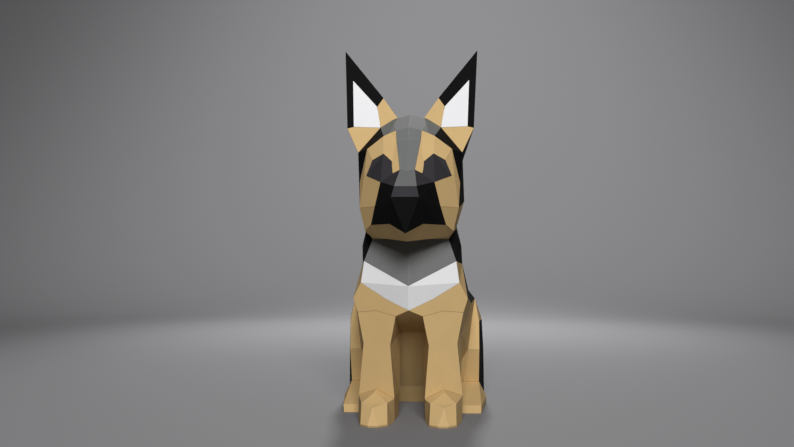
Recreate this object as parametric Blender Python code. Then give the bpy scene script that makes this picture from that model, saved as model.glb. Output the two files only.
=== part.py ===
# Sitting dog of folded card: a hollow figure of flat facets, cut from black, grey, tan and
# white card, scored, folded and glued along hidden tabs.
#
# Metres, +Z up. The dog faces -Y, its left side is +X, and the origin is on the floor under
# the middle of its outline. Every corner of the dog's left side is named below in millimetres:
# out from the middle, back from the front toes, up from the floor. The right side mirrors it.

import math

import bmesh
import bpy
import numpy as np
from mathutils import Matrix, Vector

MM = 0.001

# Card and glue. A card's edges lean, so its inner face is set back further from a seam
CARD = 0.4
GLUE = 0.3
LEAST_GLUE = 0.2
SEAM = 0.3
INNER_SET_BACK = 1.5

# Glue tabs: their width, the bare stretch at each end, and the seams too short or sharp for one
TAB_WIDTH = 8.0
TAB_END = 2.5
TAB_LEAST = 1.5
TAB_TAPER_SHARE = 0.75
TAB_STEEPEST = math.radians(60)
SHARPEST_TABBED = math.radians(50)

# Flattening the facets: how far a corner gives way outwards, back and up, in proportion
FLATTENING_ROUNDS = 600
EASE = np.array((0.1, 1.0, 0.1))
NEARLY_ONE_PLANE = 1e-3

# What is too small to matter where tabs join a card
SLIVER_EDGE = 0.02
SLIVER_HEIGHT = 0.005
FLAT_FOLD = math.radians(0.05)

# Card colours
COLOURS = {
    "black": (0.006, 0.006, 0.007),
    "grey": (0.085, 0.088, 0.090),
    "tan": (0.520, 0.350, 0.160),
    "white": (0.750, 0.750, 0.760),
}
ROUGHNESS = 0.75

# Heights and depths that several corners share
FLOOR = 0.0
SHOULDER_FOLD = 118.0
KNEE = 83.5
ANKLE = 25.9
PAW_TOP = 24.0
PAW_EDGE = 2.5
HIND_PAW_TOP = 9.1
HOCK = 25.6
HEEL_BACK = 76.0
HIND_TOES = 87.0

# Ears
EAR_TIP = (73.4, 58.0, 407.4)
EAR_OUTER = (69.6, 48.0, 319.5)
EAR_BEHIND = (44.0, 86.0, 322.0)
EAR_FOOT = (56.3, 40.0, 291.8)
EAR_ROOT_HIGH = (15.5, 56.0, 334.6)
EAR_ROOT_LOW = (19.3, 50.0, 328.8)
RIM_HIGH = (30.6, 63.0, 354.4)
RIM_LOW = (37.5, 60.0, 344.4)
LINING_TOP = (64.5, 57.0, 374.0)
LINING_OUTER = (62.7, 49.0, 321.5)
LINING_INNER = (32.8, 50.0, 320.0)

# Crown and forehead stripe
CROWN_TOP = (0.0, 52.0, 333.8)
CROWN_FRONT = (0.0, 12.0, 316.5)
STRIPE_TOP = (13.1, 13.0, 314.0)
STRIPE_FOLD = (13.0, 4.0, 304.6)
STRIPE_RIDGE = (0.0, 2.0, 304.6)

# Brows and eye patches
BROW_INNER = (20.3, 14.0, 311.7)
BROW_MIDDLE = (27.9, 15.0, 309.6)
BROW_OUTER = (46.8, 20.0, 295.8)
BROW_DIP = (17.3, -8.0, 280.3)
BROW_LOW = (15.5, -12.0, 267.5)
EYE_PEAK = (26.5, 0.0, 289.2)
EYE_OUTER_HIGH = (38.4, 8.0, 282.6)
EYE_OUTER = (42.5, 10.0, 275.7)
EYE_OUTER_LOW = (45.8, 9.0, 266.0)
EYE_LOW = (33.7, -4.0, 262.0)

# Nose and muzzle
BRIDGE_TOP = (7.7, -21.0, 270.4)
BRIDGE_RIDGE = (0.0, -25.0, 268.6)
BRIDGE_LOW = (11.6, -60.0, 252.6)
NOSE_LOW = (14.1, -66.0, 241.5)
MUZZLE_HIGH = (27.9, -17.0, 257.4)
MUZZLE_FOLD = (34.8, -19.0, 233.4)
MUZZLE_OUTER = (40.6, 0.0, 215.1)
MUZZLE_MIDDLE = (19.0, -50.0, 212.1)
MUZZLE_TIP = (0.0, -60.0, 204.8)

# Cheeks and jaw
CHEEK_BACK = (54.5, 30.0, 259.0)
CHEEK_FOLD = (49.3, 15.5, 268.0)
CHEEK_CORNER = (52.9, 18.0, 231.1)
JAW_CORNER = (47.5, 23.0, 213.9)
JAW_LOW = (46.2, 25.0, 207.2)
CHIN_SIDE = (43.6, 26.0, 198.3)
CHIN_MIDDLE = (0.0, -24.0, 198.4)

# Side and back of the head
SIDE_MIDDLE = (59.0, 76.0, 240.0)
SIDE_LOW = (49.5, 56.0, 208.5)
HEAD_REAR_TOP = (0.0, 98.0, 322.0)
HEAD_REAR_SIDE = (57.0, 98.0, 286.0)
NAPE = (0.0, 120.0, 256.0)
NAPE_SIDE = (44.0, 104.0, 236.0)

# Neck, bib and white chevron
THROAT = (0.0, 30.0, 198.0)
THROAT_SIDE = (42.0, 45.0, 198.0)
NECK_SIDE = (55.7, 76.0, 190.0)
BIB_SIDE = (50.3, 40.0, 174.0)
BIB_POINT = (0.0, -5.0, 148.9)
CHEVRON_OUTER = (53.6, 40.0, 151.0)
CHEVRON_MIDDLE = (25.7, 15.0, 133.0)
CHEVRON_TIP = (0.0, 6.0, 122.9)

# Shoulders and back
SHOULDER_TOP = (56.5, 90.0, 169.0)
SHOULDER = (61.0, 64.0, 133.0)
WITHERS = (0.0, 134.0, 206.0)
WITHER_SIDE = (44.0, 126.0, 192.0)
SADDLE_LOW = (67.6, 126.0, 122.0)
BACK_MIDDLE = (0.0, 178.0, 150.0)
BACK_SIDE = (54.0, 160.0, 148.0)
RUMP_HIGH = (79.0, 186.0, 98.0)
RUMP_WIDE = (83.0, 196.0, 60.0)
RUMP_SIDE = (60.0, 214.0, 84.0)
RUMP_FOOT = (83.5, 204.0, FLOOR)
REAR_FOOT = (62.0, 224.0, FLOOR)

# Front legs
LEG_TOP_OUTER = (58.7, 40.0, SHOULDER_FOLD)
LEG_TOP_MIDDLE = (36.7, 25.0, 120.4)
LEG_TOP_INNER = (14.5, 17.0, 115.3)
LEG_REAR_OUTER = (56.0, 84.0, 92.0)
LEG_REAR_INNER = (13.0, 80.0, 92.0)
KNEE_OUTER = (51.8, 38.0, KNEE)
KNEE_INNER = (20.3, 30.0, KNEE)
ANKLE_OUTER = (57.8, 39.0, ANKLE)
ANKLE_INNER = (15.8, 34.0, ANKLE)
ANKLE_PEAK = (37.1, 35.0, 36.4)
HEEL_OUTER = (55.0, HEEL_BACK, ANKLE)
HEEL_INNER = (14.0, HEEL_BACK, ANKLE)

# Front paws
PAW_PEAK = (37.0, 32.0, 29.5)
PAW_TOP_OUTER = (50.6, 4.0, PAW_TOP)
PAW_TOP_INNER = (22.9, 4.0, PAW_TOP)
PAW_LOW_OUTER = (51.5, 0.0, PAW_EDGE)
PAW_LOW_INNER = (21.5, 0.0, PAW_EDGE)
TOE_PEAK = (37.8, 1.5, 19.8)
TOE_OUTER = (42.4, -10.0, PAW_EDGE)
TOE_INNER = (31.6, -10.0, PAW_EDGE)
SOLE_TOE_OUTER = (42.0, -8.0, FLOOR)
SOLE_TOE_INNER = (32.0, -8.0, FLOOR)
SOLE_FRONT_OUTER = (50.5, 3.0, FLOOR)
SOLE_FRONT_INNER = (22.5, 3.0, FLOOR)
SOLE_ANKLE_OUTER = (56.5, 39.0, FLOOR)
SOLE_ANKLE_INNER = (17.0, 34.0, FLOOR)
SOLE_HEEL_OUTER = (54.5, HEEL_BACK, FLOOR)
SOLE_HEEL_INNER = (14.5, HEEL_BACK, FLOOR)

# Belly, between the legs
BELLY_TOP = (0.0, 62.0, 100.0)
BELLY_FOLD = (36.0, 150.0, 21.0)
BELLY_FOOT = (36.0, 166.0, FLOOR)

# Hind legs and hind paws
THIGH_TOP = (71.5, 152.0, 126.0)
THIGH_INNER = (68.5, 148.0, 106.0)
THIGH_OUTER = (77.6, 152.0, 99.0)
STIFLE_INNER = (63.5, 144.0, 66.3)
STIFLE_OUTER = (76.4, 146.0, 66.3)
HOCK_INNER = (57.3, 162.0, HOCK)
HOCK_OUTER = (76.5, 162.0, HOCK)
HIND_FRONT_OUTER = (77.9, 88.0, HIND_PAW_TOP)
HIND_FRONT_INNER = (46.0, 88.0, HIND_PAW_TOP)
HIND_TOE_OUTER = (78.5, HIND_TOES, FLOOR)
HIND_TOE_INNER = (46.0, HIND_TOES, FLOOR)
HIND_SIDE = (86.5, 162.0, 8.2)
HIND_SIDE_FOOT = (84.5, 166.0, FLOOR)

# Tail, glued to the flat rear panel
TAIL_ROOT_HIGH = (11.0, 46.0)
TAIL_ROOT_LOW = (13.0, 10.0)
TAIL_BEND_HIGH = (9.5, 248.0, 33.0)
TAIL_BEND_LOW = (11.5, 250.0, 2.0)
TAIL_TIP = (0.0, 284.0, 9.0)


def mirrored(corner):
    """The same corner on the dog's right side."""
    return (-corner[0], corner[1], corner[2])


def card_material(name, colour):
    """One colour of matt card."""
    material = bpy.data.materials.new(name + "_card")
    material.use_nodes = True
    shader = material.node_tree.nodes["Principled BSDF"]
    shader.inputs["Base Color"].default_value = (*colour, 1.0)
    shader.inputs["Roughness"].default_value = ROUGHNESS
    shader.inputs["Metallic"].default_value = 0.0
    return material


def head_cards():
    """The face and the top and underside of the head, listed as card name, colour, facets."""
    crown = [
        (CROWN_TOP, EAR_ROOT_HIGH, EAR_ROOT_LOW, STRIPE_TOP, CROWN_FRONT),
        (EAR_ROOT_LOW, LINING_INNER, BROW_MIDDLE, BROW_INNER, STRIPE_TOP),
        (CROWN_FRONT, STRIPE_TOP, STRIPE_FOLD, STRIPE_RIDGE),
        (STRIPE_RIDGE, STRIPE_FOLD, BRIDGE_TOP, BRIDGE_RIDGE),
    ]
    muzzle = [
        (BRIDGE_LOW, MUZZLE_HIGH, NOSE_LOW),
        (NOSE_LOW, MUZZLE_HIGH, MUZZLE_FOLD),
        (NOSE_LOW, MUZZLE_FOLD, MUZZLE_OUTER),
        (NOSE_LOW, MUZZLE_OUTER, MUZZLE_MIDDLE),
        (NOSE_LOW, MUZZLE_MIDDLE, MUZZLE_TIP),
    ]
    jaw = [
        (MUZZLE_TIP, MUZZLE_MIDDLE, CHIN_MIDDLE),
        (MUZZLE_MIDDLE, MUZZLE_OUTER, CHIN_SIDE, CHIN_MIDDLE),
        (MUZZLE_OUTER, JAW_LOW, CHIN_SIDE),
        (CHIN_MIDDLE, CHIN_SIDE, THROAT),
        (CHIN_SIDE, THROAT_SIDE, THROAT),
        (CHIN_SIDE, SIDE_LOW, THROAT_SIDE),
        (CHIN_SIDE, JAW_LOW, SIDE_LOW),
    ]
    head_back = [
        (CROWN_TOP, EAR_ROOT_HIGH, EAR_BEHIND, HEAD_REAR_TOP),
        (HEAD_REAR_TOP, EAR_BEHIND, HEAD_REAR_SIDE),
        (HEAD_REAR_TOP, HEAD_REAR_SIDE, NAPE_SIDE, NAPE),
    ]
    bridge = (BRIDGE_TOP, BRIDGE_LOW, mirrored(BRIDGE_LOW), mirrored(BRIDGE_TOP), BRIDGE_RIDGE)
    nose_band = (BRIDGE_LOW, NOSE_LOW, mirrored(NOSE_LOW), mirrored(BRIDGE_LOW))
    nose_front = (NOSE_LOW, MUZZLE_TIP, mirrored(NOSE_LOW))
    return [
        ("crown", "grey", crown, []),
        ("nose", "grey", [], [bridge]),
        ("nose_band", "grey", [], [nose_band]),
        ("muzzle", "black", muzzle, [nose_front]),
        ("jaw", "tan", jaw, []),
        ("head_back", "black", head_back, []),
    ]


def face_side_cards():
    """The cards of one side of the head; each has a twin on the other side."""
    brow = [
        (STRIPE_TOP, BROW_INNER, STRIPE_FOLD),
        (BROW_INNER, BROW_MIDDLE, EYE_PEAK, BROW_DIP, STRIPE_FOLD),
        (STRIPE_FOLD, BROW_DIP, BROW_LOW, BRIDGE_TOP),
        (BROW_MIDDLE, BROW_OUTER, EYE_OUTER_HIGH, EYE_PEAK),
    ]
    eye_patch = [
        (BRIDGE_TOP, BROW_LOW, MUZZLE_HIGH, BRIDGE_LOW),
        (EYE_PEAK, BROW_DIP, BROW_LOW, MUZZLE_HIGH),
        (EYE_PEAK, MUZZLE_HIGH, EYE_LOW, EYE_OUTER_LOW),
        (EYE_PEAK, EYE_OUTER_LOW, EYE_OUTER, EYE_OUTER_HIGH),
    ]
    cheek = [
        (BROW_OUTER, CHEEK_BACK, CHEEK_FOLD),
        (BROW_OUTER, CHEEK_FOLD, EYE_OUTER_LOW, EYE_OUTER, EYE_OUTER_HIGH),
        (EYE_OUTER_LOW, CHEEK_FOLD, CHEEK_CORNER, MUZZLE_FOLD, MUZZLE_HIGH, EYE_LOW),
        (CHEEK_FOLD, CHEEK_BACK, CHEEK_CORNER),
    ]
    jowl = [
        (CHEEK_CORNER, JAW_CORNER, JAW_LOW, MUZZLE_OUTER, MUZZLE_FOLD),
        (CHEEK_CORNER, JAW_CORNER, SIDE_MIDDLE),
        (JAW_CORNER, SIDE_LOW, SIDE_MIDDLE),
        (JAW_CORNER, JAW_LOW, SIDE_LOW),
    ]
    head_side = [
        (EAR_OUTER, EAR_FOOT, HEAD_REAR_SIDE),
        (EAR_OUTER, HEAD_REAR_SIDE, EAR_BEHIND),
        (EAR_FOOT, CHEEK_BACK, SIDE_MIDDLE),
        (CHEEK_BACK, CHEEK_CORNER, SIDE_MIDDLE),
        (EAR_FOOT, SIDE_MIDDLE, HEAD_REAR_SIDE),
        (SIDE_MIDDLE, NAPE_SIDE, HEAD_REAR_SIDE),
    ]
    temple = [
        (LINING_INNER, EAR_FOOT, BROW_OUTER, BROW_MIDDLE),
        (BROW_OUTER, EAR_FOOT, CHEEK_BACK),
    ]
    return [
        ("temple", "black", temple),
        ("brow", "tan", brow),
        ("eye_patch", "grey", eye_patch),
        ("cheek", "tan", cheek),
        ("jowl", "tan", jowl),
        ("head_side", "black", head_side),
    ]


def ear_cards():
    """One ear: a black back and front rim, a white lining and two tan root cards."""
    ear_back = [
        (EAR_TIP, EAR_BEHIND, EAR_OUTER),
        (EAR_TIP, RIM_HIGH, EAR_BEHIND),
        (RIM_HIGH, EAR_ROOT_HIGH, EAR_BEHIND),
    ]
    ear_rim = [
        (EAR_TIP, EAR_OUTER, LINING_OUTER, LINING_TOP),
        (EAR_TIP, LINING_TOP, RIM_LOW, RIM_HIGH),
    ]
    return [
        ("ear_back", "black", ear_back),
        ("ear_rim", "black", ear_rim),
        ("ear_lining", "white", [(LINING_TOP, LINING_OUTER, LINING_INNER, RIM_LOW)]),
        ("ear_side", "tan", [(RIM_HIGH, RIM_LOW, LINING_INNER, EAR_ROOT_LOW, EAR_ROOT_HIGH)]),
        ("ear_base", "tan", [(LINING_INNER, LINING_OUTER, EAR_OUTER, EAR_FOOT)]),
    ]


def body_cards():
    """The cards that cross the middle of the neck, chest, belly and back."""
    chevron = [
        (BIB_POINT, BIB_SIDE, CHEVRON_OUTER),
        (BIB_POINT, CHEVRON_OUTER, CHEVRON_MIDDLE, CHEVRON_TIP),
    ]
    nape = [
        (NAPE, NAPE_SIDE, WITHER_SIDE, WITHERS),
        (NAPE_SIDE, NECK_SIDE, WITHER_SIDE),
    ]
    chest_under = [
        (CHEVRON_TIP, LEG_TOP_INNER, BELLY_TOP),
        (LEG_TOP_INNER, LEG_REAR_INNER, BELLY_TOP),
    ]
    belly = [
        (BELLY_TOP, LEG_REAR_INNER, mirrored(LEG_REAR_INNER)),
        (LEG_REAR_INNER, BELLY_FOLD, mirrored(BELLY_FOLD), mirrored(LEG_REAR_INNER)),
        (BELLY_FOLD, BELLY_FOOT, mirrored(BELLY_FOOT), mirrored(BELLY_FOLD)),
    ]
    saddle = [
        (WITHERS, WITHER_SIDE, BACK_SIDE, BACK_MIDDLE),
        (BACK_MIDDLE, BACK_SIDE, RUMP_SIDE),
    ]
    rump_top = (BACK_MIDDLE, RUMP_SIDE, mirrored(RUMP_SIDE))
    rear = (RUMP_SIDE, REAR_FOOT, mirrored(REAR_FOOT), mirrored(RUMP_SIDE))
    base_half = (BELLY_FOOT, HIND_SIDE_FOOT, RUMP_FOOT, REAR_FOOT)
    base = base_half + tuple(mirrored(corner) for corner in reversed(base_half))
    return [
        ("bib", "grey", [(THROAT, THROAT_SIDE, BIB_SIDE, BIB_POINT)], []),
        ("chevron", "white", chevron, []),
        ("nape", "black", nape, []),
        ("chest_under", "tan", chest_under, []),
        ("belly", "tan", [], belly),
        ("saddle", "black", saddle, [rump_top]),
        ("rear", "black", [], [rear]),
        ("base", "tan", [], [base]),
    ]


def body_side_cards():
    """The cards of one side of the body; each has a twin on the other side."""
    neck_side = [
        (THROAT_SIDE, SIDE_LOW, BIB_SIDE),
        (SIDE_LOW, NECK_SIDE, BIB_SIDE),
        (BIB_SIDE, NECK_SIDE, SHOULDER_TOP),
        (SIDE_LOW, NAPE_SIDE, NECK_SIDE),
        (SIDE_LOW, SIDE_MIDDLE, NAPE_SIDE),
    ]
    chest = [
        (BIB_SIDE, SHOULDER_TOP, CHEVRON_OUTER),
        (SHOULDER_TOP, SHOULDER, CHEVRON_OUTER),
        (CHEVRON_OUTER, SHOULDER, LEG_TOP_OUTER, LEG_TOP_MIDDLE, CHEVRON_MIDDLE),
        (CHEVRON_MIDDLE, LEG_TOP_MIDDLE, LEG_TOP_INNER, CHEVRON_TIP),
    ]
    back_side = [
        (NECK_SIDE, SHOULDER_TOP, WITHER_SIDE),
        (SHOULDER_TOP, SHOULDER, SADDLE_LOW),
        (SHOULDER_TOP, SADDLE_LOW, BACK_SIDE, WITHER_SIDE),
        (SADDLE_LOW, THIGH_TOP, BACK_SIDE),
        (THIGH_TOP, RUMP_HIGH, BACK_SIDE),
    ]
    rump = [
        (BACK_SIDE, RUMP_HIGH, RUMP_SIDE),
        (RUMP_HIGH, RUMP_WIDE, RUMP_SIDE),
        (RUMP_WIDE, RUMP_FOOT, REAR_FOOT, RUMP_SIDE),
        (THIGH_OUTER, STIFLE_OUTER, RUMP_WIDE, RUMP_HIGH),
        (STIFLE_OUTER, HOCK_OUTER, RUMP_WIDE),
        (HOCK_OUTER, RUMP_FOOT, RUMP_WIDE),
    ]
    flank = [
        (SHOULDER, LEG_TOP_OUTER, LEG_REAR_OUTER),
        (SHOULDER, LEG_REAR_OUTER, SADDLE_LOW),
        (LEG_REAR_OUTER, THIGH_INNER, SADDLE_LOW),
        (SADDLE_LOW, THIGH_INNER, THIGH_TOP),
        (LEG_REAR_OUTER, THIGH_INNER, STIFLE_INNER),
        (LEG_REAR_OUTER, STIFLE_INNER, BELLY_FOLD),
        (LEG_REAR_INNER, LEG_REAR_OUTER, BELLY_FOLD),
        (STIFLE_INNER, HOCK_INNER, BELLY_FOLD),
    ]
    return [
        ("neck_side", "black", neck_side),
        ("chest", "tan", chest),
        ("back_side", "black", back_side),
        ("rump", "black", rump),
        ("flank", "tan", flank),
    ]


def front_leg_cards():
    """One front leg, its paw and its sole."""
    leg = [
        (LEG_TOP_OUTER, LEG_TOP_MIDDLE, LEG_TOP_INNER, KNEE_INNER, KNEE_OUTER),
        (KNEE_OUTER, KNEE_INNER, ANKLE_INNER, ANKLE_PEAK, ANKLE_OUTER),
        (LEG_TOP_OUTER, KNEE_OUTER, LEG_REAR_OUTER),
        (KNEE_OUTER, ANKLE_OUTER, HEEL_OUTER),
        (KNEE_OUTER, HEEL_OUTER, LEG_REAR_OUTER),
        (LEG_REAR_OUTER, HEEL_OUTER, HEEL_INNER, LEG_REAR_INNER),
        (LEG_TOP_INNER, LEG_REAR_INNER, KNEE_INNER),
        (KNEE_INNER, LEG_REAR_INNER, HEEL_INNER),
        (KNEE_INNER, HEEL_INNER, ANKLE_INNER),
    ]
    paw = [
        (ANKLE_PEAK, ANKLE_OUTER, PAW_TOP_OUTER, PAW_PEAK),
        (ANKLE_PEAK, PAW_PEAK, PAW_TOP_INNER, ANKLE_INNER),
        (PAW_PEAK, PAW_TOP_OUTER, PAW_TOP_INNER),
        (PAW_TOP_OUTER, TOE_PEAK, PAW_TOP_INNER),
        (PAW_TOP_OUTER, PAW_LOW_OUTER, TOE_OUTER, TOE_PEAK),
        (TOE_PEAK, TOE_OUTER, TOE_INNER),
        (TOE_PEAK, TOE_INNER, PAW_LOW_INNER, PAW_TOP_INNER),
        (PAW_LOW_OUTER, SOLE_FRONT_OUTER, SOLE_TOE_OUTER, TOE_OUTER),
        (TOE_OUTER, SOLE_TOE_OUTER, SOLE_TOE_INNER, TOE_INNER),
        (TOE_INNER, SOLE_TOE_INNER, SOLE_FRONT_INNER, PAW_LOW_INNER),
        (PAW_TOP_OUTER, ANKLE_OUTER, SOLE_ANKLE_OUTER),
        (PAW_TOP_OUTER, SOLE_ANKLE_OUTER, SOLE_FRONT_OUTER, PAW_LOW_OUTER),
        (ANKLE_OUTER, HEEL_OUTER, SOLE_HEEL_OUTER, SOLE_ANKLE_OUTER),
        (HEEL_OUTER, HEEL_INNER, SOLE_HEEL_INNER, SOLE_HEEL_OUTER),
        (ANKLE_INNER, SOLE_ANKLE_INNER, SOLE_HEEL_INNER, HEEL_INNER),
        (PAW_TOP_INNER, SOLE_ANKLE_INNER, ANKLE_INNER),
        (PAW_TOP_INNER, PAW_LOW_INNER, SOLE_FRONT_INNER, SOLE_ANKLE_INNER),
    ]
    sole = (
        SOLE_FRONT_OUTER, SOLE_ANKLE_OUTER, SOLE_HEEL_OUTER, SOLE_HEEL_INNER,
        SOLE_ANKLE_INNER, SOLE_FRONT_INNER, SOLE_TOE_INNER, SOLE_TOE_OUTER,
    )
    return [
        ("front_leg", "tan", leg),
        ("front_paw", "tan", paw),
        ("front_sole", "tan", [sole]),
    ]


def hind_leg_cards():
    """One hind leg: thigh, paw and sole."""
    haunch = [
        (THIGH_TOP, THIGH_INNER, STIFLE_INNER, STIFLE_OUTER, THIGH_OUTER),
        (STIFLE_INNER, HOCK_INNER, HOCK_OUTER, STIFLE_OUTER),
        (THIGH_TOP, THIGH_OUTER, RUMP_HIGH),
    ]
    paw = [
        (HIND_FRONT_OUTER, HIND_FRONT_INNER, HOCK_INNER, HOCK_OUTER),
        (HIND_FRONT_OUTER, HIND_TOE_OUTER, HIND_TOE_INNER, HIND_FRONT_INNER),
        (HIND_FRONT_OUTER, HOCK_OUTER, HIND_SIDE),
        (HIND_FRONT_OUTER, HIND_SIDE, HIND_SIDE_FOOT, HIND_TOE_OUTER),
        (HIND_FRONT_INNER, HIND_TOE_INNER, BELLY_FOOT, BELLY_FOLD),
        (HIND_FRONT_INNER, BELLY_FOLD, HOCK_INNER),
        (HOCK_OUTER, HIND_SIDE, RUMP_FOOT),
        (HIND_SIDE, HIND_SIDE_FOOT, RUMP_FOOT),
    ]
    sole = (HIND_TOE_OUTER, HIND_TOE_INNER, BELLY_FOOT, HIND_SIDE_FOOT)
    return [
        ("haunch", "tan", haunch),
        ("hind_paw", "tan", paw),
        ("hind_sole", "tan", [sole]),
    ]


def tail_card():
    """The tail: a four-sided taper, open where it meets the flat rear panel."""

    def on_rear(out, up):
        """A corner of the root, one glue line behind the rear panel."""
        share = (RUMP_SIDE[2] - up) / (RUMP_SIDE[2] - REAR_FOOT[2])
        return (out, RUMP_SIDE[1] + share * (REAR_FOOT[1] - RUMP_SIDE[1]) + GLUE, up)

    root_high = on_rear(*TAIL_ROOT_HIGH)
    root_low = on_rear(*TAIL_ROOT_LOW)
    side = [
        (root_high, root_low, TAIL_BEND_LOW, TAIL_BEND_HIGH),
        (TAIL_BEND_HIGH, TAIL_BEND_LOW, TAIL_TIP),
    ]
    across = [
        (root_high, TAIL_BEND_HIGH, mirrored(TAIL_BEND_HIGH), mirrored(root_high)),
        (root_low, TAIL_BEND_LOW, mirrored(TAIL_BEND_LOW), mirrored(root_low)),
        (TAIL_BEND_HIGH, TAIL_TIP, mirrored(TAIL_BEND_HIGH)),
        (TAIL_BEND_LOW, TAIL_TIP, mirrored(TAIL_BEND_LOW)),
    ]
    return ("tail", "black", side, across)


def cut_list():
    """Every card as name, colour and facets, with the twins of the side cards."""
    cards = []
    for name, colour, halves, across in head_cards() + body_cards() + [tail_card()]:
        twins = [tuple(mirrored(corner) for corner in facet) for facet in halves]
        cards.append((name, colour, halves + twins + across))
    sides = ear_cards() + face_side_cards() + body_side_cards() + front_leg_cards() + hind_leg_cards()
    for name, colour, facets in sides:
        twins = [tuple(mirrored(corner) for corner in facet) for facet in facets]
        cards.append((name + "_left", colour, facets))
        cards.append((name + "_right", colour, twins))
    return cards


def flattened(cards):
    """Where each named corner ends when every facet is made flat.

    Each round moves the corners of a facet onto the plane that fits them best, and takes the
    mean of what a corner's facets ask for. They move in depth sooner than across, so the
    outline from the front stays. Corners on the floor or in the middle stay there.
    """
    corners = sorted({corner for _, _, facets in cards for facet in facets for corner in facet})
    number = {corner: index for index, corner in enumerate(corners)}
    twin = np.array([number[mirrored(corner)] for corner in corners])
    start = np.array(corners)
    on_floor = start[:, 2] == FLOOR
    places = start.copy()
    wide = [
        np.array([number[corner] for corner in facet])
        for _, _, facets in cards for facet in facets if len(facet) > 3
    ]
    share = np.ones(len(corners))
    for facet in wide:
        share[facet] += 1
    for _ in range(FLATTENING_ROUNDS):
        total = places.copy()
        for facet in wide:
            middle = places[facet].mean(axis=0)
            normal = np.linalg.svd(places[facet] - middle)[2][2]
            off_plane = (places[facet] - middle) @ normal
            way = normal * EASE
            total[facet] += places[facet] - np.outer(off_plane, way / (way @ normal))
        places = total / share[:, None]
        places = (places + places[twin] * (-1.0, 1.0, 1.0)) / 2
        places[on_floor, 2] = FLOOR
    return {corner: Vector(places[index]) for corner, index in number.items()}


def whole_figure(cards, places):
    """The closed surface of all the facets, each tagged with the number of its card."""
    figure = bmesh.new()
    tag = figure.faces.layers.int.new("card")
    verts = {corner: figure.verts.new(place) for corner, place in places.items()}
    for index, (_, _, facets) in enumerate(cards):
        for facet in facets:
            face = figure.faces.new([verts[corner] for corner in facet])
            face[tag] = index
    bmesh.ops.recalc_face_normals(figure, faces=figure.faces)
    figure.normal_update()
    return figure, tag


def solved(rows, values):
    """The shortest step that meets one distance along each of the given directions."""
    return Vector(np.linalg.lstsq(np.array(rows), np.array(values), rcond=NEARLY_ONE_PLANE)[0])


def into_facet(face, edge):
    """The direction that leads from an edge into a facet, within its plane."""
    for loop in face.loops:
        if loop.edge == edge:
            along = loop.link_loop_next.vert.co - loop.vert.co
            return face.normal.cross(along.normalized())


def to_inside(vert):
    """The step from a corner to the card's inner face, shared by all the facets around it."""
    normals = [face.normal for face in vert.link_faces]
    return solved(normals, [-CARD] * len(normals))


def shell(faces):
    """A card's facets with the card's thickness inside them, set back from every seam."""
    inside = set(faces)
    mesh = bmesh.new()
    outer = {}
    inner = {}
    for vert in {vert for face in faces for vert in face.verts}:
        set_back = []
        for edge in vert.link_edges:
            owners = [face for face in edge.link_faces if face in inside]
            if len(owners) == 1:
                set_back.append(into_facet(owners[0], edge))
        step = solved(set_back, [SEAM / 2] * len(set_back)) if set_back else Vector()
        depth = to_inside(vert)
        outer[vert] = mesh.verts.new(vert.co + step)
        inner[vert] = mesh.verts.new(vert.co + step * INNER_SET_BACK + depth)
    for face in faces:
        mesh.faces.new([outer[vert] for vert in face.verts])
        mesh.faces.new([inner[vert] for vert in reversed(face.verts)])
        for loop in face.loops:
            if sum(other in inside for other in loop.edge.link_faces) == 1:
                start, end = loop.vert, loop.link_loop_next.vert
                mesh.faces.new([outer[end], outer[start], inner[start], inner[end]])
    return mesh


def corner_angle(face, vert):
    """The angle of a facet at one of its corners."""
    for loop in face.loops:
        if loop.vert == vert:
            return loop.calc_angle()


def lean_at(face, vert):
    """How far a line that halves a facet's corner runs along the seam for each step into it."""
    return 1.0 / math.tan(min(corner_angle(face, vert) / 2, TAB_STEEPEST))


def add_tab(mesh, edge, own, other):
    """One glue tab: it leaves the own card at the edge and lies behind the other card's facet."""
    start, end = edge.verts[0].co, edge.verts[1].co
    length = edge.calc_length()
    along = (end - start).normalized()
    on_own, on_other = into_facet(own, edge), into_facet(other, edge)
    own_in, other_in = -own.normal, -other.normal
    deepest = max(-to_inside(vert).dot(other.normal) for vert in other.verts)
    if on_own.angle(on_other) < SHARPEST_TABBED or deepest > CARD + GLUE - LEAST_GLUE:
        return

    def under_seam(depth):
        """The step from the seam to the line that lies this deep behind both facets."""
        return (own_in + other_in) * (depth / (1 + own_in.dot(other_in)))

    near, far = CARD + GLUE, 2 * CARD + GLUE
    hold = under_seam(CARD / 2).dot(on_own) + INNER_SET_BACK * SEAM / 2
    reach = max(under_seam(far).dot(on_own), hold) + CARD + GLUE
    ends = [TAB_END + reach * lean_at(own, vert) for vert in edge.verts]
    leans = [lean_at(other, vert) for vert in edge.verts]
    width = min(
        TAB_WIDTH,
        other.calc_area() / other.calc_perimeter(),
        (TAB_TAPER_SHARE * length - sum(ends)) / sum(leans),
    )
    if width < TAB_LEAST:
        return

    outline = [
        on_own * reach + own_in * (CARD / 2),
        on_own * hold + own_in * (CARD / 2),
        under_seam(near),
        on_other * width + other_in * near,
        on_other * width + other_in * far,
        under_seam(far),
    ]
    count = len(outline)
    turn = sum((outline[index - 1].cross(outline[index]) for index in range(count)), Vector())
    if turn.dot(along) < 0:
        outline.reverse()
    rings = []
    for place, way, bare, lean in zip((start, end), (along, -along), ends, leans):
        ring = [
            mesh.verts.new(place + point + way * (bare + lean * max(point.dot(on_other), 0.0)))
            for point in outline
        ]
        rings.append(ring)
    for index in range(count):
        after = (index + 1) % count
        mesh.faces.new([rings[0][index], rings[0][after], rings[1][after], rings[1][index]])
    mesh.faces.new(list(reversed(rings[0])))
    mesh.faces.new(rings[1])


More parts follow.
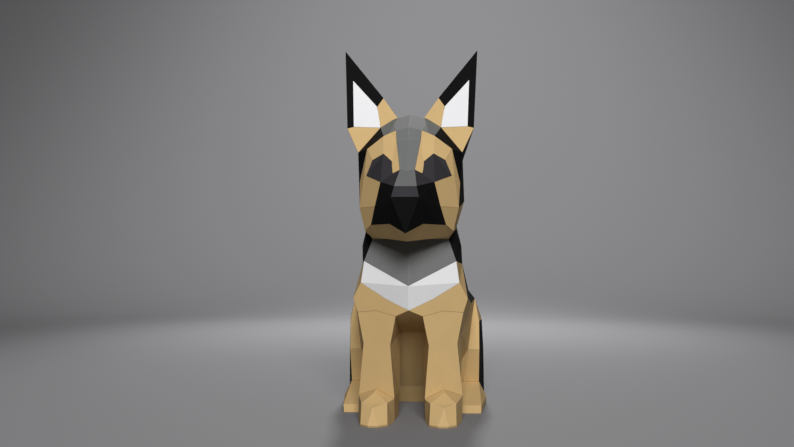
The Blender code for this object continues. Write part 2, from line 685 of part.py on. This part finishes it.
def tabs(figure, tag, card_index):
    """All the tabs of one card: one along each seam with a card that comes later in the list."""
    mesh = bmesh.new()
    for edge in figure.edges:
        if len(edge.link_faces) != 2:
            continue
        first, second = sorted(edge.link_faces, key=lambda face: face[tag])
        if first[tag] == card_index and second[tag] != card_index:
            add_tab(mesh, edge, first, second)
    return mesh


def as_object(name, mesh, origin, shift):
    """A Blender object of the mesh, in metres, with its own origin."""
    centre = (origin + shift) * MM
    mesh.transform(Matrix.Translation(-centre) @ Matrix.Scale(MM, 4) @ Matrix.Translation(shift))
    data = bpy.data.meshes.new(name)
    mesh.to_mesh(data)
    mesh.free()
    piece = bpy.data.objects.new(name, data)
    piece.location = centre
    bpy.context.scene.collection.objects.link(piece)
    return piece


def clean_up(data):
    """Merges the slivers that a union leaves, and the facets that lie in one plane."""
    mesh = bmesh.new()
    mesh.from_mesh(data)
    bmesh.ops.remove_doubles(mesh, verts=mesh.verts, dist=SLIVER_EDGE * MM)
    bmesh.ops.dissolve_degenerate(mesh, edges=mesh.edges, dist=SLIVER_HEIGHT * MM)
    bmesh.ops.dissolve_limit(mesh, angle_limit=FLAT_FOLD, verts=mesh.verts, edges=mesh.edges)
    bmesh.ops.triangulate(mesh, faces=mesh.faces)
    mesh.to_mesh(data)
    mesh.free()


def join_tabs(piece, flaps):
    """Joins a card and its tabs into one body. EXACT drops facets of such thin shells."""
    union = piece.modifiers.new("Tabs", "BOOLEAN")
    union.operation = "UNION"
    union.solver = "MANIFOLD"
    union.object = flaps
    bpy.context.view_layer.update()
    evaluated = piece.evaluated_get(bpy.context.evaluated_depsgraph_get())
    joined = bpy.data.meshes.new_from_object(evaluated)
    piece.modifiers.clear()
    piece.data = joined
    bpy.data.objects.remove(flaps)


def main():
    for item in list(bpy.data.objects):
        bpy.data.objects.remove(item, do_unlink=True)
    materials = {name: card_material(name, colour) for name, colour in COLOURS.items()}
    cards = cut_list()
    places = flattened(cards)
    figure, tag = whole_figure(cards, places)
    outline = np.array([vert.co for vert in figure.verts])
    middle = (outline.min(axis=0) + outline.max(axis=0)) / 2
    shift = Vector((0.0, -middle[1], 0.0))

    dog = bpy.data.objects.new("dog", None)
    bpy.context.scene.collection.objects.link(dog)
    for index, (name, colour, _) in enumerate(cards):
        faces = [face for face in figure.faces if face[tag] == index]
        corners = [vert.co for face in faces for vert in face.verts]
        origin = sum(corners, Vector()) / len(corners)
        piece = as_object(name, shell(faces), origin, shift)
        flaps = tabs(figure, tag, index)
        if flaps.faces:
            join_tabs(piece, as_object(name + "_tabs", flaps, origin, shift))
        clean_up(piece.data)
        piece.data.materials.clear()
        piece.data.materials.append(materials[colour])
        piece.parent = dog
    figure.free()


main()
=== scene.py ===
import math

import bpy
import numpy as np
from mathutils.bvhtree import BVHTree
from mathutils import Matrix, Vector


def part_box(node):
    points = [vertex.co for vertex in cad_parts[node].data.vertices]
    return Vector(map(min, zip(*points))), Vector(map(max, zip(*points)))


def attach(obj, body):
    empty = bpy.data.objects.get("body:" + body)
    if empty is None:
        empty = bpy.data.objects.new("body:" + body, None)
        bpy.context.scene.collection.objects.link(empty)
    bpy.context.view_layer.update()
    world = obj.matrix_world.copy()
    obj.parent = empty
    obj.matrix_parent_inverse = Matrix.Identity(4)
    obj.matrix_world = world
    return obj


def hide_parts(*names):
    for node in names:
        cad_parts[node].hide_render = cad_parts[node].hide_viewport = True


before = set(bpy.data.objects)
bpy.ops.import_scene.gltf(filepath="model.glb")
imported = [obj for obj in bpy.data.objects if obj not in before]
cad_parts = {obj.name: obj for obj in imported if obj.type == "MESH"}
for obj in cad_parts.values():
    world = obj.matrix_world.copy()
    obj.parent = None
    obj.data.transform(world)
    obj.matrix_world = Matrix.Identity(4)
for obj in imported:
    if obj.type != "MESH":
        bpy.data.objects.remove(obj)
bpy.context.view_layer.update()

# The camera stands in front of the dog, a little to its left, level with the foot of its jaw.
# It is a 50 mm lens that looks straight ahead, so that upright edges stay upright. Its place is
# measured from the line of the toes, which lies just behind the front of the paws.
LENS_LENGTH = 50.0
LENS_SENSOR = 36.0
TOES_BEHIND_PAW_FRONT = 0.010
TOES_TO_CAMERA = 1.167
CAMERA_HEIGHT = 0.215
CAMERA_TURN = math.radians(3.5)
DOG_OFF_CENTRE = 0.0121
lens_data = bpy.data.cameras.new("camera")
lens_data.lens = LENS_LENGTH
lens_data.sensor_width = LENS_SENSOR
camera = bpy.data.objects.new("camera", lens_data)
bpy.context.scene.collection.objects.link(camera)
toes = np.array((0.0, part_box("front_paw_left")[0].y + TOES_BEHIND_PAW_FRONT, 0.0))
ahead = np.array((-math.sin(CAMERA_TURN), math.cos(CAMERA_TURN), 0.0))
aside = np.array((math.cos(CAMERA_TURN), math.sin(CAMERA_TURN), 0.0))
standing = toes - ahead * TOES_TO_CAMERA - aside * DOG_OFF_CENTRE
camera.location = standing + (0.0, 0.0, CAMERA_HEIGHT)
camera.rotation_euler = (math.radians(90), 0.0, CAMERA_TURN)
bpy.context.scene.camera = camera
bpy.context.scene.view_settings.view_transform = "Standard"

# The studio is one sheet of grey paper that lies on the floor and curves up behind the dog.
# Its profile is a line, a quarter circle and a line, and the sheet carries it from side to side.
SWEEP_WIDTH = 9.0
SWEEP_FRONT = -3.0
SWEEP_BACK = 2.4
SWEEP_RADIUS = 1.2
SWEEP_HEIGHT = 4.5
SWEEP_STEPS = 25
SWEEP_GREY = (0.20, 0.20, 0.206)
SWEEP_ROUGHNESS = 0.9
SWEEP_GLOSS = 0.1


def sweep_sheet():
    """The sheet as a grid: a column of profile points for each end of its width.

    The profile turns by an angle that grows evenly from the floor (0) to the wall (90 degrees).
    It goes back by the radius times the angle's sine, and up by the radius times 1 - its cosine.
    """
    turn = np.radians(np.linspace(0, 90, SWEEP_STEPS))
    curve_back = SWEEP_BACK - SWEEP_RADIUS * (1 - np.sin(turn))
    curve_up = SWEEP_RADIUS * (1 - np.cos(turn))
    y = np.concatenate(([SWEEP_FRONT], curve_back, [SWEEP_BACK]))
    z = np.concatenate(([0.0], curve_up, [SWEEP_HEIGHT]))
    x = np.array((-SWEEP_WIDTH / 2, SWEEP_WIDTH / 2))
    points = np.stack(np.broadcast_arrays(x[:, None], y[None, :], z[None, :]), axis=-1)
    row = np.arange(len(y) - 1)
    faces = np.stack((row, row + len(y), row + len(y) + 1, row + 1), axis=1)
    mesh = bpy.data.meshes.new("studio_sheet")
    mesh.from_pydata(points.reshape(-1, 3).tolist(), [], faces.tolist())
    mesh.shade_smooth()
    return mesh


sheet_paper = bpy.data.materials.new("studio_paper")
sheet_paper.use_nodes = True
sheet_shader = sheet_paper.node_tree.nodes["Principled BSDF"]
sheet_shader.inputs["Base Color"].default_value = (*SWEEP_GREY, 1.0)
sheet_shader.inputs["Roughness"].default_value = SWEEP_ROUGHNESS
sheet_shader.inputs["Specular IOR Level"].default_value = SWEEP_GLOSS
studio = bpy.data.objects.new("studio_sheet", sweep_sheet())
studio.data.materials.append(sheet_paper)
bpy.context.scene.collection.objects.link(studio)

# A large soft lamp stands in front of the dog and above it, and the room adds a little light
# from all round. Two spot lights stay off the dog's front: one makes a soft pool of light on the
# upright part of the sheet, and one lights the floor from behind the dog.
KEY_SIZE = 1.2
KEY_POWER = 132.0
KEY_PLACE = (0.25, -3.1, 1.85)
KEY_TARGET = (0.0, 0.0, 0.20)
SPOT_SIZE = 0.15
WALL_CONE = math.radians(84)
WALL_POWER = 190.0
WALL_LAMP_PLACE = (0.0, 0.9, 2.4)
WALL_LAMP_TARGET = (0.0, 2.0, 0.4)
FLOOR_CONE = math.radians(54)
FLOOR_POWER = 200.0
FLOOR_LAMP_PLACE = (0.0, 1.9, 1.6)
FLOOR_LAMP_TARGET = (0.0, 0.5, 0.0)
ROOM_LIGHT = 0.05


def studio_lamp(name, kind, power, place, target):
    """A lamp of the given power in watts at a place, turned to face its target."""
    data = bpy.data.lights.new(name, kind)
    data.energy = power
    lamp = bpy.data.objects.new(name, data)
    lamp.location = place
    way = np.array(target) - np.array(place)
    level = math.hypot(way[0], way[1])
    lamp.rotation_euler = (math.atan2(level, -way[2]), 0.0, math.atan2(-way[0], way[1]))
    bpy.context.scene.collection.objects.link(lamp)
    return data


key = studio_lamp("key_lamp", "AREA", KEY_POWER, KEY_PLACE, KEY_TARGET)
key.size = KEY_SIZE
wall_spot = studio_lamp("wall_lamp", "SPOT", WALL_POWER, WALL_LAMP_PLACE, WALL_LAMP_TARGET)
wall_spot.spot_size = WALL_CONE
floor_spot = studio_lamp("floor_lamp", "SPOT", FLOOR_POWER, FLOOR_LAMP_PLACE, FLOOR_LAMP_TARGET)
floor_spot.spot_size = FLOOR_CONE
for spot in (wall_spot, floor_spot):
    spot.spot_blend = 1.0
    spot.shadow_soft_size = SPOT_SIZE
room = bpy.data.worlds.new("room")
room.use_nodes = True
room.node_tree.nodes["Background"].inputs["Color"].default_value = (1.0, 1.0, 1.0, 1.0)
room.node_tree.nodes["Background"].inputs["Strength"].default_value = ROOM_LIGHT
bpy.context.scene.world = room

# The ears. Each is a black back and a black front rim round a white lining, on a tan root that
# is one card towards the crown and one below. All are cut from matt craft card, scored on the
# face, folded back and glued along tabs inside.
CARD_GLOSS = 0.06
FACE_ROUGHNESS = 0.75
SCORE_ROUGHNESS = 0.68
ROUGHNESS_SPREAD = 0.08
PAPER_WHITE = 0.85
CLOUD_SIZE = 0.018
CLOUD_DETAIL = 4.0
CLOUD_UNEVENNESS = 0.6
FIBRE_SIZE = 0.0009
FIBRE_DETAIL = 5.0
FIBRE_UNEVENNESS = 0.65
FIBRE_LENGTHENING = 0.3
FIBRE_SHARE = 0.45
FIBRE_HEIGHT = 0.00004
FIBRE_STRENGTH = 0.35
TONE_RANGE = (0.3, 0.7)
JOIN_DIGITS = 6
SCORE_WIDTH = 0.00016
SCORE_SEGMENTS = 2
SCORE_LEAST = 0.0020
FOLD_LEAST = math.radians(2)
RIM_HEIGHT = 0.0008


def node(tree, kind, **inputs):
    """A shader node, with its inputs set by name or joined to another node's output."""
    made = tree.nodes.new("ShaderNode" + kind)
    for name, value in inputs.items():
        socket = made.inputs[name.replace("_", " ")]
        if isinstance(value, bpy.types.NodeSocket):
            tree.links.new(value, socket)
        else:
            socket.default_value = value
    return made


def craft_card(name, colour, clouding, roughness):
    """Matt dyed card: pulp clouds and fine fibres vary its colour, and fibres lift its face.

    Its tone is a blend of the two noises, stretched over the tone range. The colour goes with it
    from the dye darkened by the clouding's share to the dye lightened by it. The roughness goes
    with the fibres alone.
    """
    card = bpy.data.materials.new(name)
    card.use_nodes = True
    tree = card.node_tree
    shader = tree.nodes["Principled BSDF"]
    place = node(tree, "TexCoord").outputs["Object"]
    clouds = node(
        tree, "TexNoise", Vector=place,
        Scale=1 / CLOUD_SIZE, Detail=CLOUD_DETAIL, Roughness=CLOUD_UNEVENNESS,
    )
    long_fibres = node(tree, "Mapping", Vector=place)
    long_fibres.inputs["Scale"].default_value = (1.0, 1.0, FIBRE_LENGTHENING)
    fibres = node(
        tree, "TexNoise", Vector=long_fibres.outputs["Vector"],
        Scale=1 / FIBRE_SIZE, Detail=FIBRE_DETAIL, Roughness=FIBRE_UNEVENNESS,
    )
    blend = node(tree, "Mix", Factor=FIBRE_SHARE)
    tree.links.new(clouds.outputs["Fac"], blend.inputs["A"])
    tree.links.new(fibres.outputs["Fac"], blend.inputs["B"])
    tone = node(tree, "MapRange", Value=blend.outputs["Result"])
    tone.inputs["From Min"].default_value, tone.inputs["From Max"].default_value = TONE_RANGE
    dyed = node(tree, "Mix")
    dyed.data_type = "RGBA"
    tree.links.new(tone.outputs["Result"], dyed.inputs["Factor"])
    # Inputs 6 and 7 are the Mix node's two colours, and output 2 is the mixed colour.
    dark, light = dyed.inputs[6], dyed.inputs[7]
    dark.default_value = (*(channel * (1 - clouding) for channel in colour), 1.0)
    light.default_value = (*(channel * (1 + clouding) for channel in colour), 1.0)
    tree.links.new(dyed.outputs[2], shader.inputs["Base Color"])
    dull = node(tree, "MapRange", Value=fibres.outputs["Fac"])
    dull.inputs["To Min"].default_value = roughness - ROUGHNESS_SPREAD
    dull.inputs["To Max"].default_value = roughness + ROUGHNESS_SPREAD
    tree.links.new(dull.outputs["Result"], shader.inputs["Roughness"])
    lifted = node(
        tree, "Bump", Height=fibres.outputs["Fac"],
        Strength=FIBRE_STRENGTH, Distance=FIBRE_HEIGHT,
    )
    tree.links.new(lifted.outputs["Normal"], shader.inputs["Normal"])
    shader.inputs["Specular IOR Level"].default_value = CARD_GLOSS
    return card


def card_stock(colour_name, slot, colour, clouding, bleaching):
    """One colour of card: the slot it belongs to, its face, and its scored folds.

    A score breaks the dyed skin, so a fold's colour moves towards paper white by the bleaching.
    """
    bared = tuple(channel + (PAPER_WHITE - channel) * bleaching for channel in colour)
    face = craft_card(colour_name + "_card", colour, clouding, FACE_ROUGHNESS)
    fold = craft_card(colour_name + "_fold", bared, clouding, SCORE_ROUGHNESS)
    return slot, face, fold


def joined_facets(name):
    """The node's points and triangles, where corners that round to the same place are one."""
    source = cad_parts[name].data
    corners = np.empty(len(source.vertices) * 3)
    source.vertices.foreach_get("co", corners)
    corners = corners.reshape(-1, 3)
    source.calc_loop_triangles()
    triangles = np.empty(len(source.loop_triangles) * 3, int)
    source.loop_triangles.foreach_get("vertices", triangles)
    _, first, joined = np.unique(
        np.round(corners, JOIN_DIGITS), axis=0, return_index=True, return_inverse=True
    )
    return corners[first], joined.reshape(-1)[triangles].reshape(-1, 3)


def fold_lines(points, facets):
    """Every edge of the joined triangles, and for each edge whether it is a fold.

    Each edge has two facets. It is a fold where it is long enough, where the facets turn by more
    than the least angle, and where both reach further from it than a cut rim is high: twice the
    area over the edge's length.
    """
    along, beside = (points[facets[:, corner]] - points[facets[:, 0]] for corner in (1, 2))
    across = np.cross(along, beside)
    doubled = np.linalg.norm(across, axis=1)
    facing = across / doubled[:, None]
    sides = np.concatenate((facets[:, [0, 1]], facets[:, [1, 2]], facets[:, [2, 0]]))
    edges, owner = np.unique(np.sort(sides, axis=1), axis=0, return_inverse=True)
    pair = np.argsort(owner.reshape(-1), kind="stable").reshape(-1, 2) % len(facets)
    length = np.linalg.norm(points[edges[:, 0]] - points[edges[:, 1]], axis=1)
    likeness = np.einsum("ij,ij->i", facing[pair[:, 0]], facing[pair[:, 1]])
    reach = doubled[pair].min(axis=1) / length
    is_fold = (likeness < math.cos(FOLD_LEAST)) & (length > SCORE_LEAST) & (reach > RIM_HEIGHT)
    return edges, is_fold


def settled(rounded, points, facets):
    """Puts a bevelled point that strays from the flat facets back on them.

    A point strays where it is further from the nearest facet than the score is wide.
    """
    places = np.empty(len(rounded.vertices) * 3)
    rounded.vertices.foreach_get("co", places)
    places = places.reshape(-1, 3)
    flat_facets = BVHTree.FromPolygons(points.tolist(), facets.tolist())
    found = [flat_facets.find_nearest(place) for place in places.tolist()]
    nearest = np.array([spot for spot, _, _, _ in found])
    strays = np.array([away for _, _, _, away in found]) > SCORE_WIDTH
    places[strays] = nearest[strays]
    rounded.vertices.foreach_set("co", places.ravel())
    rounded.update()
    return rounded


def folded_card(name, stock):
    """The node's card with every fold rounded as a scored one is.

    Folds weigh one and all other edges nothing, and the bevel follows the weights. Its faces take
    the second material, which is the fold's.
    """
    slot, face, fold = stock
    points, facets = joined_facets(name)
    edges, is_fold = fold_lines(points, facets)
    mesh = bpy.data.meshes.new("card_" + name)
    mesh.from_pydata(points.tolist(), edges.tolist(), facets.tolist())
    weights = mesh.attributes.new("bevel_weight_edge", "FLOAT", "EDGE")
    weights.data.foreach_set("value", is_fold.astype(float))
    mesh.materials.append(face)
    mesh.materials.append(fold)
    piece = bpy.data.objects.new("card_" + name, mesh)
    bpy.context.scene.collection.objects.link(piece)
    score = piece.modifiers.new("Score", "BEVEL")
    score.limit_method = "WEIGHT"
    score.width = SCORE_WIDTH
    score.segments = SCORE_SEGMENTS
    score.use_clamp_overlap = False
    score.material = 1
    finished = piece.evaluated_get(bpy.context.evaluated_depsgraph_get())
    rounded = bpy.data.meshes.new_from_object(finished)
    piece.modifiers.remove(score)
    piece.data = settled(rounded, points, facets)
    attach(piece, "root")
    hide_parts(name)


def pair_of(name):
    """The names of a side card and its twin."""
    return [name + "_left", name + "_right"]


BLACK = (0.0040, 0.0040, 0.0042)
WHITE = (0.74, 0.74, 0.75)
TAN = (0.560, 0.385, 0.175)
black_stock = card_stock("black", "black_card", BLACK, clouding=0.20, bleaching=0.010)
white_stock = card_stock("white", "white_card", WHITE, clouding=0.025, bleaching=0.0)
tan_stock = card_stock("tan", "tan_card", TAN, clouding=0.045, bleaching=0.10)
for ear_name in pair_of("ear_back") + pair_of("ear_rim"):
    folded_card(ear_name, black_stock)
for ear_name in pair_of("ear_lining"):
    folded_card(ear_name, white_stock)
for ear_name in pair_of("ear_side") + pair_of("ear_base"):
    folded_card(ear_name, tan_stock)

# The crown is one grey card: an arc from ear to ear and a stripe down the forehead. The bridge of
# the nose is a second grey card, glued below the stripe.
GREY = (0.150, 0.154, 0.152)
grey_stock = card_stock("grey", "grey_card", GREY, clouding=0.06, bleaching=0.06)
for top_name in ("crown", "nose"):
    folded_card(top_name, grey_stock)

# The eye patches are charcoal card, one on each side: hollow below the brow, with a flap that
# runs down beside the bridge of the nose. The band across the tip of the nose is charcoal too.
# The figure has no drawn or cut-out eyes.
CHARCOAL = (0.034, 0.032, 0.036)
charcoal_stock = card_stock("charcoal", "grey_card", CHARCOAL, clouding=0.12, bleaching=0.02)
for patch_name in pair_of("eye_patch") + ["nose_band"]:
    folded_card(patch_name, charcoal_stock)

# Brows, cheeks, jowls and jaw are tan card, each scored, folded and glued to its neighbours from
# inside. The jaw's card also closes the underside of the chin.
for face_name in pair_of("brow") + pair_of("cheek") + pair_of("jowl") + ["jaw"]:
    folded_card(face_name, tan_stock)

# The muzzle is one black card that wraps the front of the snout, with its lowest point on the
# jaw. Black cards also close the temples, the sides and the back of the head.
for head_name in ["muzzle", "head_back"] + pair_of("temple") + pair_of("head_side"):
    folded_card(head_name, black_stock)

# The bib under the chin is grey, folded down its middle, and the chevron below it is white, with
# a fold across each arm. Both are glued to the neck and chest along their edges.
folded_card("bib", grey_stock)
folded_card("chevron", white_stock)

# Neck, back, rump, rear and tail are black card. The saddle is one card from withers to rump,
# and the tail is a four-sided taper glued flat to the rear.
for back_name in ["nape", "saddle", "rear", "tail"]:
    folded_card(back_name, black_stock)
for back_name in pair_of("neck_side") + pair_of("back_side") + pair_of("rump"):
    folded_card(back_name, black_stock)

# Chest, flanks, belly and all four legs are tan card. Each paw is a card of its own, closed by
# a flat sole, and the base closes the figure between the hind paws.
for body_name in ["chest_under", "belly", "base"] + pair_of("chest") + pair_of("flank"):
    folded_card(body_name, tan_stock)
for leg_name in ("front_leg", "front_paw", "front_sole", "haunch", "hind_paw", "hind_sole"):
    for side_name in pair_of(leg_name):
        folded_card(side_name, tan_stock)
